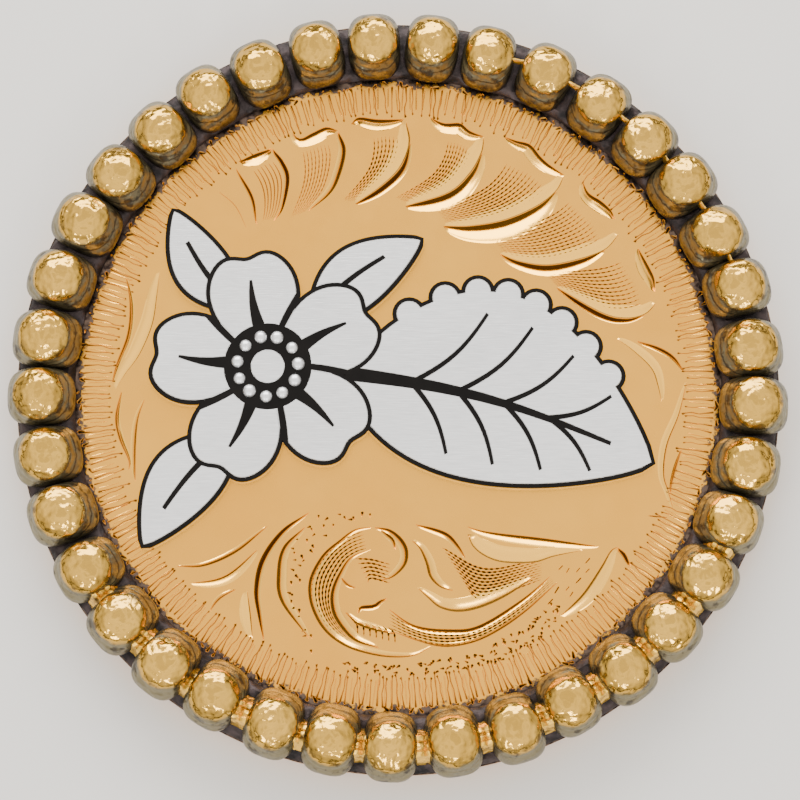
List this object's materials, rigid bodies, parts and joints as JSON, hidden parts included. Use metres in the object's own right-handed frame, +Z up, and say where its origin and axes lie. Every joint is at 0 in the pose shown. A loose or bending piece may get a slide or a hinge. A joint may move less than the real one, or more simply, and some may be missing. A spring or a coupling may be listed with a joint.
{
  "type": "concho",
  "caption": "Round Western concho with a beaded rim, a hand-engraved gilt face and a silver wild-rose overlay outlined in black enamel.",
  "frame": {"origin": "centre of the flat underside, on the surface that the concho lies on", "axes": "+Z up out of the engraved face, +Y towards the top of the face, +X to its right"},
  "size_m": [0.038, 0.038, 0.0039],
  "materials": {
    "gilt_plate": "hand-engraved gilt brass, satin between bright cuts",
    "gilt_beads": "burnished gilt bead wire with dark patina in the gaps",
    "nickel_silver": "nickel silver with fine straight brush lines",
    "black_enamel": "glossy black enamel"
  },
  "bodies": {
    "root": {"base_plate": "gilt_plate", "bead_rim": "gilt_beads", "silver_overlay": "nickel_silver", "enamel_fill": "black_enamel"}
  },
  "joints": []
}
